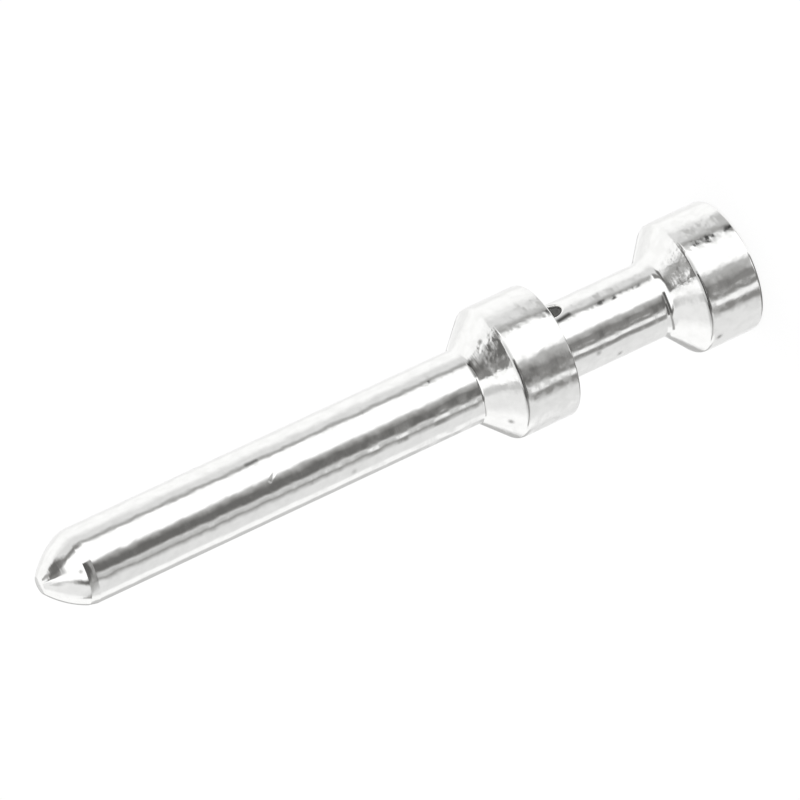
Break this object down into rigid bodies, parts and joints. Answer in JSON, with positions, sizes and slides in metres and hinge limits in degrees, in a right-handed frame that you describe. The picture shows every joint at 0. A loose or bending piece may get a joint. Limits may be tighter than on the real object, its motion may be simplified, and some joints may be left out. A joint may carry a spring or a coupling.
{
  "type": "pin contact",
  "caption": "Turned male crimp contact: a bullet-nosed round pin, a locating collar behind a cone, and a slim crimp barrel with a sight hole and a flared rear bell.",
  "frame": {"origin": "centre of the flat rear face, on the axis", "axes": "+Z along the axis from the rear face to the pin's tip; +X through the sight hole"},
  "size_m": [0.0044, 0.0044, 0.025],
  "materials": {
    "silver_plating": "bright silver plating over turned copper alloy"
  },
  "bodies": {
    "root": {"pin_contact": "silver_plating"}
  },
  "joints": []
}
